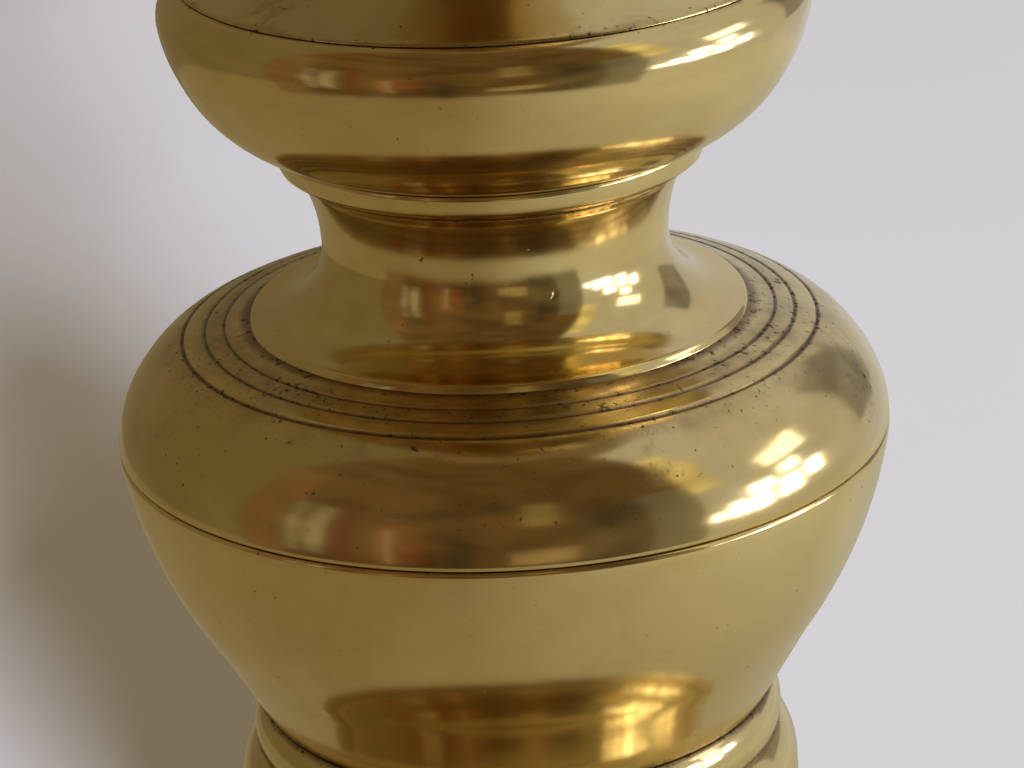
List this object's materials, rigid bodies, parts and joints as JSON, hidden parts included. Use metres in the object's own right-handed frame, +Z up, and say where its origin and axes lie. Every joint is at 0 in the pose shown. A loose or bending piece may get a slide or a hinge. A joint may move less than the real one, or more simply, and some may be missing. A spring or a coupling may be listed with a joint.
{
  "type": "candlestick",
  "caption": "Turned brass candlestick: domed round foot, stem of stacked cast sections on a tie rod, captive drip pan and a screw-on candle cup.",
  "frame": {"origin": "centre of the resting face, on the surface that the candlestick stands on", "axes": "+Z up along the stem's turning axis; X and Y are any two directions square to it"},
  "size_m": [0.1, 0.1, 0.305],
  "materials": {
    "brass_stem": "polished and aged, brown tarnish in the grooves, small casting pits",
    "brass_foot": "polished and aged, worn brighter on the edges",
    "brass_top": "polished and aged, duller inside the cup and the pan",
    "steel": "plain, slightly dulled",
    "felt": "matt wool felt"
  },
  "bodies": {
    "stand": {"felt_ring": "felt", "base_foot": "brass_foot", "base_spool": "brass_foot", "beaded_collar": "brass_stem", "body_cone": "brass_stem", "body_dome": "brass_stem", "stem_neck": "brass_stem", "neck_ring": "brass_stem", "bulb_cup": "brass_stem", "bulb_cap": "brass_stem", "shaft_ring": "brass_stem", "lower_shaft": "brass_stem", "shaft_knop": "brass_stem", "upper_shaft": "brass_stem", "pan_seat": "brass_stem", "tie_rod": "steel", "clamp_washer": "steel", "spring_washer": "steel", "base_nut": "steel", "stem_washer": "steel", "stem_nut": "steel"},
    "pan": {"drip_pan": "brass_top"},
    "cup": {"candle_cup": "brass_top", "pan_retainer": "steel"}
  },
  "joints": [
    {"name": "cup_rise", "type": "slide", "parent": "stand", "child": "pan", "axis": [0, 0, 1], "range_m": [0, 0.01]},
    {"name": "cup_unscrew", "type": "hinge", "parent": "pan", "child": "cup", "pos_m": [0, 0, 0.2593], "axis": [0, 0, 1], "range_deg": [0, 2881]}
  ],
  "couplings": [
    {"joint": "cup_unscrew", "follows": "cup_rise", "rad_per_m": 5026.5}
  ]
}
